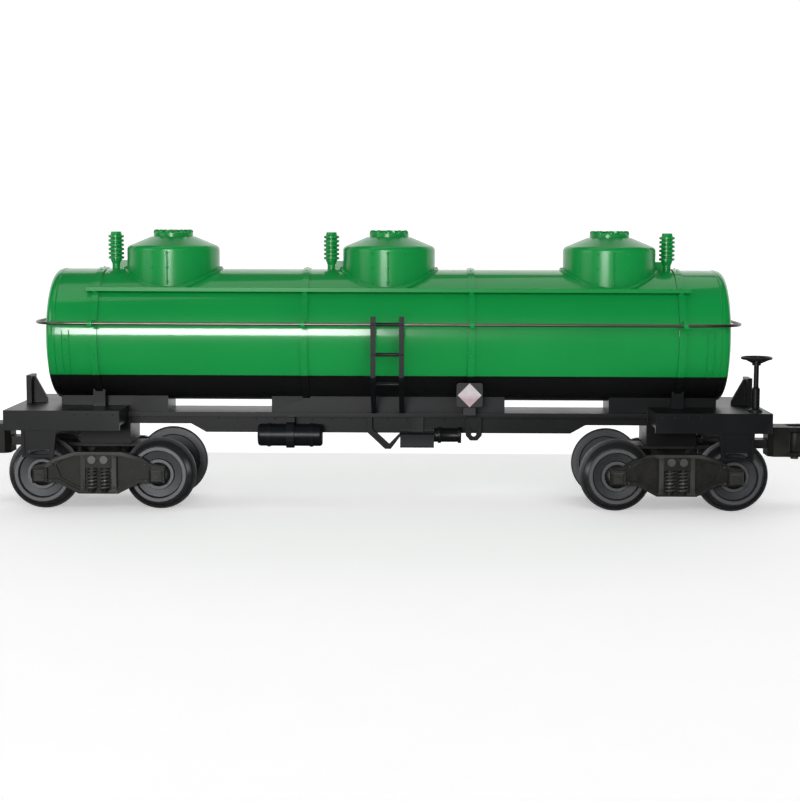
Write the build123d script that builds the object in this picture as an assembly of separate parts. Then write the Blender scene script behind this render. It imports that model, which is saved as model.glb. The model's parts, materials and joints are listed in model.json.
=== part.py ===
from build123d import *
import os
from math import cos, radians, sin, sqrt

# Three-dome model tank wagon, O gauge. Millimetres, +Z up, +X towards the brake wheel end.
# The origin is midway between the couplers, at the lowest point of the wheel flanges.

# ---- tank -----------------------------------------------------------------------------------
tank_radius = 20.95
tank_axis_z = 54.4
tank_wall = 1.6
shell_half = 103.6            # half length of the cylindrical shell
cap_depth = 3.7               # how far each end cap stands beyond the shell
cap_corner = 2.6
cap_bulge = 0.9               # crown of the end cap's middle
spigot_depth = 3.0
spigot_clear = 0.05
band_places = (-91.2, -26.0, 26.0, 91.2)
band_width = 2.2
band_proud = 0.5
ledge_half = 94.0
ledge_rise = 14.9             # top of the ledge above the tank's axis
ledge_thick = 1.2
ledge_wide = 3.4
ledge_bite = 0.63             # how far the ledge's root reaches into the shell
ledge_bracket_drop = 2.6
screw_places = (-30.0, 30.0)
screw_boss_radius = 3.2
screw_boss_height = 6.0

# ---- domes ----------------------------------------------------------------------------------
dome_names = ("left", "middle", "right")
dome_places = (-69.0, 0.0, 70.3)
dome_radius = 14.7
dome_wall = 1.5
dome_shoulder_z = 82.4
dome_shoulder_round = 1.6
dome_top_z = 85.6
dome_crown_radius = 7.0
dome_flange_out = 1.1
dome_flange_proud = 0.6
hatch_radius = 6.25
hatch_height = 1.5
hatch_rim = 0.7
hatch_bolt_circle = 4.2
hatch_bolt_count = 8
hatch_bolt_radius = 0.85
hatch_bolt_height = 0.9
valve_gap = 3.7               # valve axis from its dome's wall
valve_sides = (-1, -1, 1)
valve_radius = 2.5
valve_bottom_z = 78.0
valve_rib_count = 6
valve_rib_pitch = 1.35
valve_neck_radius = 1.3
valve_web = 1.0

# ---- handrail and ladders -------------------------------------------------------------------
rail_radius = 0.5
rail_z = 59.05
rail_y = 26.0
rail_end_x = 109.7
rail_bend = 12.0
rail_clear = 0.02
stanchion_radius = 0.85
eye_radius = 1.15
stile_spacing = 8.8
stile_width = 1.6
stile_thick = 1.2
ladder_top_z = 61.5
ladder_bend_z = 42.0
ladder_inset = 0.6            # ladder's middle inside the rail's line
rung_radius = 0.6
rung_places = (40.5, 49.8, 59.05)

# ---- frame ----------------------------------------------------------------------------------
frame_half = 118.4
deck_inner_x = 82.5
deck_half_width = 26.5
deck_top_z = 32.2
deck_thick = 1.5
skirt_thick = 1.3
skirt_bottom_z = 26.0
sill_half_width = 9.6
sill_top_z = 30.2
sill_thick = 1.5
web_out_y = 8.0
web_thick = 1.6
web_bottom_z = 26.3
belly_z = 23.6
belly_half = 58.0
belly_slope = 4.8
lip_thick = 0.9
lip_width = 2.6
pad_half_width = 8.4
pad_half = 37.0
saddle_inner_x = 70.0
saddle_outer_x = 104.0
saddle_wide = 12.5
saddle_wide_half = 1.9
bolster_half_x = 8.0
bolster_half_y = 9.0
step_x = 102.0
step_length = 11.0
step_taper = 1.0
step_bottom_z = 17.6
step_rim = 0.9
step_plate = 0.8
step_slot_height = 1.5
post_x = 115.4                # upright end plate on the platform
post_thick = 1.6
post_height = 8.9
post_half_width = 4.0
gusset_run = 4.4
gusset_thick = 1.2

# ---- parts hung from the frame --------------------------------------------------------------
reservoir_x = (-41.0, -20.6)
reservoir_radius = 3.5
reservoir_z = 23.3
reservoir_y = -12.2
strap_x = (-32.0, -29.5)
strap_thick = 0.6
brake_box_x = (3.9, 14.6)
brake_box_z = (19.4, 24.2)
brake_box_y = -13.0
cylinder_x = (14.6, 23.2)
cylinder_radius = 2.2
cylinder_z = 23.3
cylinder_y = -10.6
lever_thick = 1.6
lever_apex_z = 18.6
hanger_x = (24.7, 29.8)
hanger_bottom_z = 21.4
hanger_thick = 1.4
placard_x = 25.6
placard_y = 18.0
placard_width = 8.2
placard_bottom_z = 32.9
placard_height = 7.6
placard_thick = 0.9
placard_arm = 1.0
placard_arm_width = 4.0

# ---- hand brake -----------------------------------------------------------------------------
brake_x = 114.0
brake_y = -21.0
stem_radius = 0.78
stem_thick_radius = 1.25
stem_thick_top = 40.0
stem_top_z = 46.6
stem_tip_radius = 0.5
stem_tip_length = 1.4
brake_wheel_radius = 4.85
brake_rim_radius = 0.45
brake_rim_z = 48.95
brake_hub_radius = 1.35
brake_hub_height = 2.0
brake_spokes = 5
spin_clear = 0.06             # running fit of the brake wheel on its stem, on the radius

# ---- trucks ---------------------------------------------------------------------------------
truck_x = 90.0
wheelbase = 36.5
flange_radius = 11.4
tread_radius = 10.0
tread_taper = 1.0             # how much the tread narrows towards its face
wheel_back_y = 13.9
wheel_width = 5.2
axle_radius = 1.5
journal_radius = 0.8
journal_clear = 0.05
side_inner_y = 20.0
side_plate = 1.4
side_rim = 0.8
side_rim_width = 1.1
side_web = 0.6                # floor left in the side frame's windows
journal_box = 4.7
journal_box_out = 1.9
journal_length = 1.4
journal_end_play = 0.2
spring_radius = 1.35
cross_beam_half = 3.5
cross_beam_z = (14.5, 18.5)
rivet_radius = 0.7
rivet_head_radius = 1.25
rivet_head = 0.6
rivet_grip = 3.0
rivet_spread = 1.9
draw_plate_thick = 1.2
draw_plate_half = 6.0
draw_plate_inboard = 12.0
swivel_gap = 0.3
kingpin_radius = 1.5
kingpin_clear = 0.08
kingpin_head_radius = 3.0
kingpin_head = 1.4
kingpin_grip = 5.0

# ---- couplers -------------------------------------------------------------------------------
coupler_face_x = 135.0        # outer face of a closed knuckle
head_back_x = 121.6
head_front_x = 128.4
head_half_width = 5.4
head_z = (16.1, 25.6)
shank_half_width = 3.2
ear_thick = 1.4
ear_clear = 0.2
knuckle_pivot_x = 130.2
knuckle_pivot_y = 3.9
knuckle_hub = 1.9
hook_thick = 1.8
hook_reach = 5.0
guard_thick = 2.0
guard_length = 5.4
pin_radius = 0.75
pin_clear = 0.06
pin_head = 0.5
plunger_dx = 10.0
plunger_radius = 0.8
plunger_clear = 0.08
plunger_disc_radius = 4.0
plunger_disc_z = 3.2
plunger_disc = 1.0
plunger_travel = 1.5
plunger_cap_radius = 1.3
plunger_cap = 0.7

screw_radius = 1.25
screw_clear = 0.15
screw_head_radius = 2.5
screw_head = 1.6

tank_top_z = tank_axis_z + tank_radius
ledge_z = tank_axis_z + ledge_rise
ledge_root = sqrt(tank_radius ** 2 - ledge_rise ** 2) - ledge_bite
ledge_out = ledge_root + ledge_wide
valve_offset = dome_radius + valve_gap
ladder_y = rail_y - ladder_inset
deck_bottom_z = deck_top_z - deck_thick
flange_bottom_z = sill_top_z - sill_thick
draw_plate_z = (cross_beam_z[1], cross_beam_z[1] + draw_plate_thick)
body_bolster_z = draw_plate_z[1] + swivel_gap
wheel_face_y = wheel_back_y + wheel_width
side_face_y = side_inner_y + side_plate
side_out_y = side_face_y + side_rim
journal_end_y = wheel_face_y + (side_inner_y - wheel_face_y) + journal_length
valve_top_z = valve_bottom_z + 1.0 + valve_rib_count * valve_rib_pitch

os.makedirs("parts", exist_ok=True)


def save(shape, name):
    shape.label = name
    export_step(shape, f"parts/{name}.step")


def block(x, y, z):
    """A box between two places on each axis, each given as a pair."""
    size = (abs(x[1] - x[0]), abs(y[1] - y[0]), abs(z[1] - z[0]))
    return Pos((x[0] + x[1]) / 2, (y[0] + y[1]) / 2, (z[0] + z[1]) / 2) * Box(*size)


def mirrored(half):
    return tuple(sorted((-half, half)))


def rod_z(radius, z, x=0.0, y=0.0):
    return Pos(x, y, (z[0] + z[1]) / 2) * Cylinder(radius, abs(z[1] - z[0]))


def rod_x(radius, x, y, z):
    return Pos((x[0] + x[1]) / 2, y, z) * Rot(0, 90, 0) * Cylinder(radius, abs(x[1] - x[0]))


def rod_y(radius, x, y, z):
    return Pos(x, (y[0] + y[1]) / 2, z) * Rot(90, 0, 0) * Cylinder(radius, abs(y[1] - y[0]))


def turned(points):
    """A solid turned about Z from (radius, z) points."""
    return revolve(Plane.XZ * make_face(Polyline(*points, close=True)), Axis.Z)


def side_plate_solid(points, y):
    """An (x, z) outline as a plate between two places in Y."""
    face = Plane.XZ * make_face(Polyline(*points, close=True))
    return Pos(0, max(y), 0) * extrude(face, amount=abs(y[1] - y[0]), dir=(0, -1, 0))


def section_solid(points, x):
    """A (y, z) outline as a bar between two places in X."""
    face = Plane.YZ * make_face(Polyline(*points, close=True))
    return Pos(min(x), 0, 0) * extrude(face, amount=abs(x[1] - x[0]), dir=(1, 0, 0))


def half_turn(shape):
    return Rot(0, 0, 180) * shape


def tank_cylinder(radius, half):
    return rod_x(radius, (-half, half), 0, tank_axis_z)


# ---- tank -----------------------------------------------------------------------------------
def tank_outside():
    body = tank_cylinder(tank_radius, shell_half)
    for x in band_places:
        half = band_width / 2
        body += rod_x(tank_radius + band_proud, (x - half, x + half), 0, tank_axis_z)
    for side in (-1, 1):
        body += block(mirrored(ledge_half), (side * ledge_root, side * ledge_out),
                      (ledge_z - ledge_thick / 2, ledge_z + ledge_thick / 2))
        under = ledge_z - ledge_thick / 2
        for x in band_places:
            web = [(side * ledge_root, under), (side * (ledge_out - 0.4), under),
                   (side * (ledge_root + 1.2), under - ledge_bracket_drop),
                   (side * ledge_root, under - ledge_bracket_drop)]
            body += section_solid(web, (x - 0.6, x + 0.6))
    return body


def tank_shell(outside):
    bottom_z = tank_axis_z - tank_radius
    inner = tank_cylinder(tank_radius - tank_wall, shell_half)
    shell = outside - inner
    for x in screw_places:
        boss = rod_z(screw_boss_radius, (bottom_z + 0.4, bottom_z + screw_boss_height), x)
        shell += boss & tank_cylinder(tank_radius - 0.2, shell_half)
        shell -= rod_z(screw_radius, (bottom_z - 1, bottom_z + screw_boss_height + 1), x)
    return shell


def end_cap():
    """The cap for the +X end, with a spigot that plugs the shell."""
    spigot = tank_radius - tank_wall - spigot_clear
    face_r = tank_radius - cap_corner
    flat_z = cap_depth - cap_bulge
    corner_z = flat_z - cap_corner
    inner_r = spigot - tank_wall
    disc_z = -spigot_depth / 2
    crown_r = (face_r ** 2 + cap_bulge ** 2) / (2 * cap_bulge)
    crown_mid_z = cap_depth - crown_r + sqrt(crown_r ** 2 - (face_r / 2) ** 2)
    corner_mid = cap_corner * sqrt(0.5)
    edges = Polyline((0, cap_depth), (0, disc_z), (inner_r, disc_z), (inner_r, -spigot_depth),
                     (spigot, -spigot_depth), (spigot, 0), (tank_radius, 0), (tank_radius, corner_z))
    edges += ThreePointArc((tank_radius, corner_z), (face_r + corner_mid, corner_z + corner_mid),
                           (face_r, flat_z))
    edges += ThreePointArc((face_r, flat_z), (face_r / 2, crown_mid_z), (0, cap_depth))
    cap = revolve(Plane.XZ * make_face(edges), Axis.Z)
    return Pos(shell_half, 0, tank_axis_z) * Rot(0, 90, 0) * cap


# ---- domes ----------------------------------------------------------------------------------
def dome_form(radius, shoulder_z, top_z, crown, base_z):
    outline = Polyline((0, base_z), (radius, base_z), (radius, shoulder_z), (crown, top_z),
                       (0, top_z), close=True)
    form = revolve(Plane.XZ * make_face(outline), Axis.Z)
    shoulder = form.edges().filter_by(GeomType.CIRCLE).filter_by(
        lambda edge: abs(edge.radius - radius) < 0.01 and abs(edge.center().Z - shoulder_z) < 0.01)
    return fillet(shoulder, dome_shoulder_round)


def dome(x, outside):
    base_z = tank_axis_z
    form = dome_form(dome_radius, dome_shoulder_z, dome_top_z, dome_crown_radius, base_z)
    hollow = dome_form(dome_radius - dome_wall, dome_shoulder_z - dome_wall,
                       dome_top_z - dome_wall, dome_crown_radius - dome_wall, base_z)
    flange = rod_z(dome_radius + dome_flange_out, (ledge_z + ledge_thick / 2, tank_top_z + 2))
    flange &= tank_cylinder(tank_radius + dome_flange_proud, 2 * dome_radius)
    wall = form - hollow + (flange - rod_z(dome_radius - dome_wall, (tank_axis_z, tank_top_z + 3)))
    return Pos(x, 0, 0) * wall - outside


def hatch_cover(x):
    z = dome_top_z
    cover = turned([(0, z), (hatch_radius, z), (hatch_radius, z + hatch_height - 0.4),
                    (hatch_radius - 0.4, z + hatch_height), (hatch_radius - hatch_rim, z + hatch_height),
                    (hatch_radius - hatch_rim - 0.3, z + hatch_height - 0.3),
                    (2.4, z + hatch_height - 0.3), (2.0, z + hatch_height + 0.5),
                    (0, z + hatch_height + 0.8)])
    return Pos(x, 0, 0) * cover


def hatch_bolts():
    z = dome_top_z + hatch_height - 0.3
    solids = []
    for x in dome_places:
        for turn in range(hatch_bolt_count):
            angle = 360 / hatch_bolt_count * (turn + 0.5)
            bolt = extrude(RegularPolygon(hatch_bolt_radius, 6), amount=hatch_bolt_height)
            dx = hatch_bolt_circle * cos(radians(angle))
            dy = hatch_bolt_circle * sin(radians(angle))
            solids.append(Pos(x + dx, dy, z) * Rot(0, 0, angle) * bolt)
    return Compound(children=solids)


def safety_valve(x, side, outside):
    neck_z = tank_top_z - 1
    points = [(0, neck_z), (valve_neck_radius, neck_z), (valve_neck_radius, valve_bottom_z - 1.2),
              (valve_radius - 0.7, valve_bottom_z)]
    for rib in range(valve_rib_count):
        z = valve_bottom_z + 0.3 + rib * valve_rib_pitch
        points += [(valve_radius - 0.7, z), (valve_radius, z + 0.2),
                   (valve_radius, z + valve_rib_pitch - 0.5),
                   (valve_radius - 0.7, z + valve_rib_pitch - 0.3)]
    points += [(valve_radius - 0.9, valve_top_z), (0, valve_top_z)]
    valve = Pos(x + side * valve_offset, 0, 0) * turned(points)
    web = block((x + side * (dome_radius - 1), x + side * valve_offset), mirrored(valve_web / 2),
                (neck_z, valve_bottom_z))
    wall = rod_z(dome_radius, (tank_axis_z, dome_top_z), x)
    foot = rod_z(dome_radius + dome_flange_out, (tank_axis_z, dome_top_z), x)
    foot &= tank_cylinder(tank_radius + dome_flange_proud, shell_half)
    return valve + web - wall - foot - outside


# ---- handrail and ladders -------------------------------------------------------------------
def handrail():
    """The half of the rail on the +X side: a U of wire from ladder to ladder."""
    start_x = stile_spacing / 2 + stile_width / 2
    path = FilletPolyline((start_x, -rail_y, rail_z), (rail_end_x, -rail_y, rail_z),
                          (rail_end_x, rail_y, rail_z), (start_x, rail_y, rail_z), radius=rail_bend)
    section = Plane(origin=(start_x, -rail_y, rail_z), z_dir=(1, 0, 0)) * Circle(rail_radius)
    return sweep(section, path=path)


def handrail_stanchions():
    outer = tank_cylinder(tank_radius + band_proud, shell_half)
    hole = rail_radius + rail_clear
    solids = []
    for x in band_places:
        for side in (-1, 1):
            post = rod_y(stanchion_radius, x, (side * (tank_radius - 2), side * (rail_y - 0.2)), rail_z)
            eye = rod_x(eye_radius, (x - 0.7, x + 0.7), side * rail_y, rail_z)
            bore = rod_x(hole, (x - 2, x + 2), side * rail_y, rail_z)
            solids.append(post + eye - bore - outer)
    return Compound(children=solids)


def ladder():
    """The ladder on the -Y side, its feet bent in to the sill flange."""
    foot_z = sill_top_z + stile_thick / 2
    line = FilletPolyline((-ladder_y, ladder_top_z), (-ladder_y, ladder_bend_z),
                          (-sill_half_width - 2.0, foot_z), (-pad_half_width - 0.1, foot_z), radius=2.0)
    strip = Plane.YZ * trace(line, line_width=stile_thick)
    body = None
    for side in (-1, 1):
        x = side * stile_spacing / 2 - stile_width / 2
        stile = Pos(x, 0, 0) * extrude(strip, amount=stile_width, dir=(1, 0, 0))
        body = stile if body is None else body + stile
    for z in rung_places:
        y = -ladder_y
        if z < ladder_bend_z:
            slope = (ladder_y - sill_half_width - 2.0) / (ladder_bend_z - foot_z)
            y = -ladder_y + (ladder_bend_z - z) * slope
        body += rod_x(rung_radius, mirrored(stile_spacing / 2), y, z)
    return body


# ---- frame ----------------------------------------------------------------------------------
def end_deck():
    """The end platform at +X, with skirts, steps and gussets."""
    x = (deck_inner_x, frame_half)
    deck = block(x, mirrored(deck_half_width), (deck_bottom_z, deck_top_z))
    deck += block(x, mirrored(sill_half_width), (flange_bottom_z, deck_bottom_z + 0.2))
    deck += block((frame_half - skirt_thick, frame_half), mirrored(deck_half_width),
                  (skirt_bottom_z, deck_top_z))
    deck += block((deck_inner_x, deck_inner_x + skirt_thick), mirrored(deck_half_width),
                  (skirt_bottom_z + 1.5, deck_top_z))
    inner = deck_half_width - skirt_thick
    end_x = step_x + step_length
    for side in (-1, 1):
        deck += block(x, (side * inner, side * deck_half_width), (skirt_bottom_z, deck_top_z))
        outline = [(step_x, skirt_bottom_z + 0.5), (end_x, skirt_bottom_z + 0.5),
                   (end_x - step_taper * 0.3, step_bottom_z), (step_x + step_taper, step_bottom_z)]
        step = side_plate_solid(outline, (side * inner, side * deck_half_width))
        field = [(step_x + step_rim, skirt_bottom_z + 1), (end_x - step_rim, skirt_bottom_z + 1),
                 (end_x - step_rim - step_taper * 0.3, step_bottom_z + step_rim),
                 (step_x + step_rim + step_taper, step_bottom_z + step_rim)]
        field_y = (side * (inner + step_plate), side * (deck_half_width + 1))
        step -= side_plate_solid(field, field_y) & block((step_x, end_x), field_y,
                                                         (step_bottom_z, skirt_bottom_z))
        slot_z = step_bottom_z + step_rim
        step -= block((step_x + 2.4, end_x - 2.0), (side * (inner - 1), side * (deck_half_width + 1)),
                      (slot_z, slot_z + step_slot_height))
        deck += step
    face_x = post_x - post_thick / 2
    deck += block((face_x, face_x + post_thick), mirrored(post_half_width),
                  (deck_top_z - 0.5, deck_top_z + post_height))
    web = [(post_x, deck_top_z - 0.5), (post_x, deck_top_z + post_height - 0.6),
           (face_x - 0.6, deck_top_z + post_height - 0.6), (face_x - gusset_run, deck_top_z + 1.4),
           (face_x - gusset_run, deck_top_z - 0.5)]
    deck += side_plate_solid(web, mirrored(gusset_thick / 2))
    return deck


def sill():
    body = block(mirrored(frame_half), mirrored(sill_half_width), (flange_bottom_z, sill_top_z))
    slope_x = belly_half + belly_slope
    for side in (-1, 1):
        y = (side * (web_out_y - web_thick), side * web_out_y)
        outline = [(-frame_half, flange_bottom_z + 0.3), (-frame_half, web_bottom_z),
                   (-slope_x, web_bottom_z), (-belly_half, belly_z), (belly_half, belly_z),
                   (slope_x, web_bottom_z), (frame_half, web_bottom_z),
                   (frame_half, flange_bottom_z + 0.3)]
        body += side_plate_solid(outline, y)
        lip_y = (side * (web_out_y - web_thick - lip_width / 2), side * (web_out_y - web_thick + 0.2))
        body += block(mirrored(belly_half), lip_y, (belly_z, belly_z + lip_thick))
    return body


def frame():
    body = sill()
    deck = end_deck()
    body += deck + half_turn(deck)
    for side in (-1, 1):
        x = side * truck_x
        body += block((x - bolster_half_x, x + bolster_half_x), mirrored(bolster_half_y),
                      (body_bolster_z, deck_bottom_z + 0.2))
        body += block((side * saddle_inner_x, side * saddle_outer_x), mirrored(pad_half_width),
                      (sill_top_z - 0.2, tank_axis_z))
        x = side * band_places[3]
        body += block((x - saddle_wide_half, x + saddle_wide_half), mirrored(saddle_wide),
                      (deck_bottom_z, tank_axis_z))
    body += block(mirrored(pad_half), mirrored(pad_half_width), (sill_top_z - 0.2, tank_axis_z))
    body -= tank_cylinder(tank_radius, shell_half + cap_depth)
    for x in band_places:
        half = band_width / 2 + 0.1
        body -= rod_x(tank_radius + band_proud, (x - half, x + half), 0, tank_axis_z)
    body -= block(mirrored(saddle_outer_x + 1), mirrored(saddle_wide + 1),
                  (tank_axis_z - 15, tank_axis_z + 1))
    for side in (-1, 1):
        body -= rod_z(kingpin_radius, (0, body_bolster_z + kingpin_grip), side * truck_x)
    for x in screw_places:
        body -= rod_z(screw_radius + screw_clear, (belly_z, tank_axis_z), x)
    return body


def tank_screws():
    solids = []
    top = tank_axis_z - tank_radius + screw_boss_height - 1.0
    for x in screw_places:
        shank = rod_z(screw_radius, (flange_bottom_z - 0.2, top), x)
        head = rod_z(screw_head_radius, (flange_bottom_z - screw_head, flange_bottom_z), x)
        slot = block((x - screw_head_radius, x + screw_head_radius), mirrored(0.3),
                     (flange_bottom_z - screw_head, flange_bottom_z - screw_head + 0.6))
        solids.append(shank + head - slot)
    return Compound(children=solids)


# ---- parts hung from the frame --------------------------------------------------------------
def air_reservoir():
    tank = rod_x(reservoir_radius, reservoir_x, reservoir_y, reservoir_z)
    tank = fillet(tank.edges().filter_by(GeomType.CIRCLE), 0.9)
    outer = reservoir_radius + strap_thick
    tank += rod_x(outer, strap_x, reservoir_y, reservoir_z)
    for x in (reservoir_x[0] + 3.0, reservoir_x[1] - 4.0):
        tank += rod_x(reservoir_radius + 0.25, (x, x + 1.0), reservoir_y, reservoir_z)
    hook = block(strap_x, (reservoir_y, -web_out_y), (reservoir_z, flange_bottom_z))
    return tank + hook


def brake_cylinder():
    body = block(brake_box_x, (brake_box_y, -web_out_y), brake_box_z)
    body = chamfer(body.edges().filter_by(Axis.X), 0.6)
    body += rod_x(cylinder_radius, cylinder_x, cylinder_y, cylinder_z)
    body += rod_x(cylinder_radius + 0.35, (cylinder_x[0] + 1.2, cylinder_x[0] + 2.2),
                  cylinder_y, cylinder_z)
    body += rod_x(cylinder_radius + 0.35, (cylinder_x[1] - 1.0, cylinder_x[1]), cylinder_y, cylinder_z)
    mid = (brake_box_x[0] + brake_box_x[1]) / 2
    body += block((mid - 2.0, mid + 2.0), (-web_out_y - 1.4, -web_out_y),
                  (brake_box_z[1] - 0.3, flange_bottom_z))
    return body


def brake_lever():
    outline = [(-6.7, flange_bottom_z), (-6.7, belly_z + 0.4), (-0.9, lever_apex_z),
               (0.9, lever_apex_z), (brake_box_x[0], belly_z - 1.0), (brake_box_x[0], belly_z + 0.2),
               (0.4, lever_apex_z + 1.6), (-4.9, belly_z + 1.4), (-4.9, flange_bottom_z)]
    return side_plate_solid(outline, (-web_out_y - lever_thick, -web_out_y))


def brake_hanger():
    low = hanger_bottom_z
    outline = [(hanger_x[0], flange_bottom_z), (hanger_x[0], low + 1.6), (hanger_x[0] + 1.4, low),
               (hanger_x[1] - 1.4, low), (hanger_x[1], low + 1.6), (hanger_x[1], flange_bottom_z)]
    plate = side_plate_solid(outline, (-web_out_y - hanger_thick, -web_out_y))
    return plate - rod_y(0.8, (hanger_x[0] + hanger_x[1]) / 2, (-web_out_y - 3, -web_out_y), low + 2.0)


def placard():
    """The board on the -Y side, with its arm on the sill flange."""
    left, right = placard_x - placard_width / 2, placard_x + placard_width / 2
    top = placard_bottom_z + placard_height
    board = block((left, right), (-placard_y, -placard_y + placard_thick), (placard_bottom_z, top))
    board = chamfer(board.edges().filter_by(Axis.Y), 0.5)
    arm_x = (placard_x - placard_arm_width / 2, placard_x + placard_arm_width / 2)
    arm = block(arm_x, (-placard_y + placard_thick, -pad_half_width),
                (sill_top_z, sill_top_z + placard_arm))
    upright = block(arm_x, (-placard_y + placard_thick, -placard_y + placard_thick + placard_arm),
                    (sill_top_z, top - 1.0))
    return board + arm + upright


# ---- hand brake -----------------------------------------------------------------------------
def brake_stand():
    stand = turned([(0, deck_top_z), (2.1, deck_top_z), (2.1, deck_top_z + 0.7),
                    (stem_thick_radius, deck_top_z + 1.2), (stem_thick_radius, stem_thick_top - 0.6),
                    (stem_radius, stem_thick_top), (stem_radius, stem_top_z),
                    (stem_tip_radius, stem_top_z), (stem_tip_radius, stem_top_z + stem_tip_length),
                    (0, stem_top_z + stem_tip_length)])
    return Pos(brake_x, brake_y, 0) * stand


def brake_wheel():
    low = stem_top_z + 0.1
    hub = rod_z(brake_hub_radius, (low, low + brake_hub_height))
    hub = fillet(hub.edges().filter_by(GeomType.CIRCLE).sort_by(Axis.Z)[-1], 0.5)
    rim_circle = brake_wheel_radius - brake_rim_radius
    rim = Pos(rim_circle, brake_rim_z) * RegularPolygon(brake_rim_radius, 8)
    wheel = hub + revolve(Plane.XZ * rim, Axis.Z)
    inner = brake_hub_radius - 0.4
    rise = brake_rim_z - (low + 0.8)
    length = sqrt(rise ** 2 + (rim_circle - inner) ** 2)
    direction = (rim_circle - inner, 0, rise)
    for turn in range(brake_spokes):
        start = Plane(origin=(inner, 0, low + 0.8), z_dir=direction)
        spoke = extrude(start * Circle(0.4), amount=length)
        wheel += Rot(0, 0, 360 / brake_spokes * turn) * spoke
    bore = rod_z(stem_tip_radius + spin_clear, (low - 1, stem_top_z + stem_tip_length + 0.1))
    return Pos(brake_x, brake_y, 0) * (wheel - bore)


# ---- trucks: each built about its kingpin at +X, with +X outboard ----------------------------
def side_outline():
    right = [(6.2, 5.7), (12.8, 9.2), (20.6, 9.0), (20.6, 14.3), (16.4, 15.0), (13.6, 17.0), (7.4, 18.8)]
    left = [(-x, z) for x, z in reversed(right)]
    return make_face(Polyline(*right, *left, close=True))


def side_frame():
    """The -Y side frame, cast with sunk windows, rim, spring nest and journal boxes."""
    outline = side_outline()
    core = offset(outline, amount=-side_rim_width, kind=Kind.INTERSECTION)
    plate = extrude(Plane.XZ * outline, amount=side_plate, dir=(0, -1, 0))
    rim = extrude(Plane.XZ * (outline - core), amount=side_plate + side_rim, dir=(0, -1, 0))
    body = plate + rim
    for side in (-1, 1):
        window = [(side * 5.8, 7.6), (side * 11.8, 10.6), (side * 13.4, 14.6), (side * 11.8, 16.0),
                  (side * 5.8, 17.2)]
        body -= side_plate_solid(window, (-side_plate - 2, -side_web))
        column = block((side * 4.1, side * 5.6), (-side_plate - side_rim, 0), (6.0, 18.6))
        body += column
        axle_x = side * wheelbase / 2
        box = block((axle_x - journal_box / 2, axle_x + journal_box / 2),
                    (-side_plate - journal_box_out, 0),
                    (flange_radius - journal_box / 2, flange_radius + journal_box / 2))
        box = chamfer(box.faces().sort_by(Axis.Y)[0].edges(), 0.6)
        body += box
    for x in (-2.0, 2.0):
        body += rod_z(spring_radius, (6.2, 14.2), x, -side_plate)
    body += block((-4.1, 4.1), (-side_plate - side_rim - 0.5, 0), (13.9, 17.9))
    body = Pos(0, -side_inner_y, 0) * body
    for side in (-1, 1):
        body -= rod_y(journal_radius + journal_clear, side * wheelbase / 2,
                      (-side_inner_y + 1, -journal_end_y - journal_end_play), flange_radius)
        body -= rod_y(rivet_radius, side * rivet_spread, (-side_out_y - 3, -side_inner_y + 1),
                      (cross_beam_z[0] + cross_beam_z[1]) / 2)
    return body


def cross_beam():
    beam = block(mirrored(cross_beam_half), mirrored(side_inner_y), cross_beam_z)
    beam = chamfer(beam.edges().filter_by(Axis.Y), 0.5)
    beam += rod_z(5.0, cross_beam_z)
    beam -= rod_z(kingpin_radius + kingpin_clear, (0, body_bolster_z))
    for side in (-1, 1):
        for x in (-rivet_spread, rivet_spread):
            beam -= rod_y(rivet_radius, x, (side * (side_inner_y - rivet_grip), side * 30),
                          (cross_beam_z[0] + cross_beam_z[1]) / 2)
    return beam


def truck_rivets():
    z = (cross_beam_z[0] + cross_beam_z[1]) / 2
    seat = side_out_y + 0.5
    solids = []
    for side in (-1, 1):
        for x in (-rivet_spread, rivet_spread):
            shank = rod_y(rivet_radius, x, (side * (side_inner_y - rivet_grip), side * (seat + 0.1)), z)
            head = rod_y(rivet_head_radius, x, (side * seat, side * (seat + rivet_head)), z)
            solids.append(shank + head)
    return solids


def axle(x):
    shaft = rod_y(axle_radius, x, mirrored(wheel_face_y), flange_radius)
    shaft += rod_y(journal_radius, x, mirrored(journal_end_y), flange_radius)
    return shaft


def wheel_pair(x):
    back, face = wheel_back_y, wheel_face_y
    profile = [(axle_radius, back), (4.2, back), (4.6, back + 0.6), (8.4, back + 0.6), (8.8, back),
               (flange_radius - 0.5, back), (flange_radius, back + 0.35), (flange_radius, back + 0.75),
               (tread_radius + 0.3, back + 1.3), (tread_radius, back + 1.6),
               (tread_radius - tread_taper, face - 0.5), (tread_radius - tread_taper - 0.4, face), (7.6, face),
               (7.2, face - 1.3), (5.0, face - 1.5), (4.7, face - 0.5), (3.8, face - 0.5),
               (3.4, face - 1.2), (2.5, face - 0.3), (axle_radius, face - 0.3)]
    wheel = turned(profile)
    near = Pos(x, 0, flange_radius) * Rot(90, 0, 0) * wheel
    far = Pos(x, 0, flange_radius) * Rot(-90, 0, 0) * wheel
    return [near, far]


def kingpin():
    head_top = cross_beam_z[0] - swivel_gap
    pin = rod_z(kingpin_radius, (head_top - 0.2, body_bolster_z + kingpin_grip - 0.5))
    head = rod_z(kingpin_head_radius, (head_top - kingpin_head, head_top))
    head = fillet(head.edges().filter_by(GeomType.CIRCLE).sort_by(Axis.Z)[0], 0.5)
    slot = block(mirrored(kingpin_head_radius), mirrored(0.35),
                 (head_top - kingpin_head, head_top - kingpin_head + 0.6))
    return pin + head - slot


# ---- couplers -------------------------------------------------------------------------------
pivot_dx = knuckle_pivot_x - truck_x
knuckle_z = (head_z[0] + ear_thick + ear_clear, head_z[1] - ear_thick - ear_clear)


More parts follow.
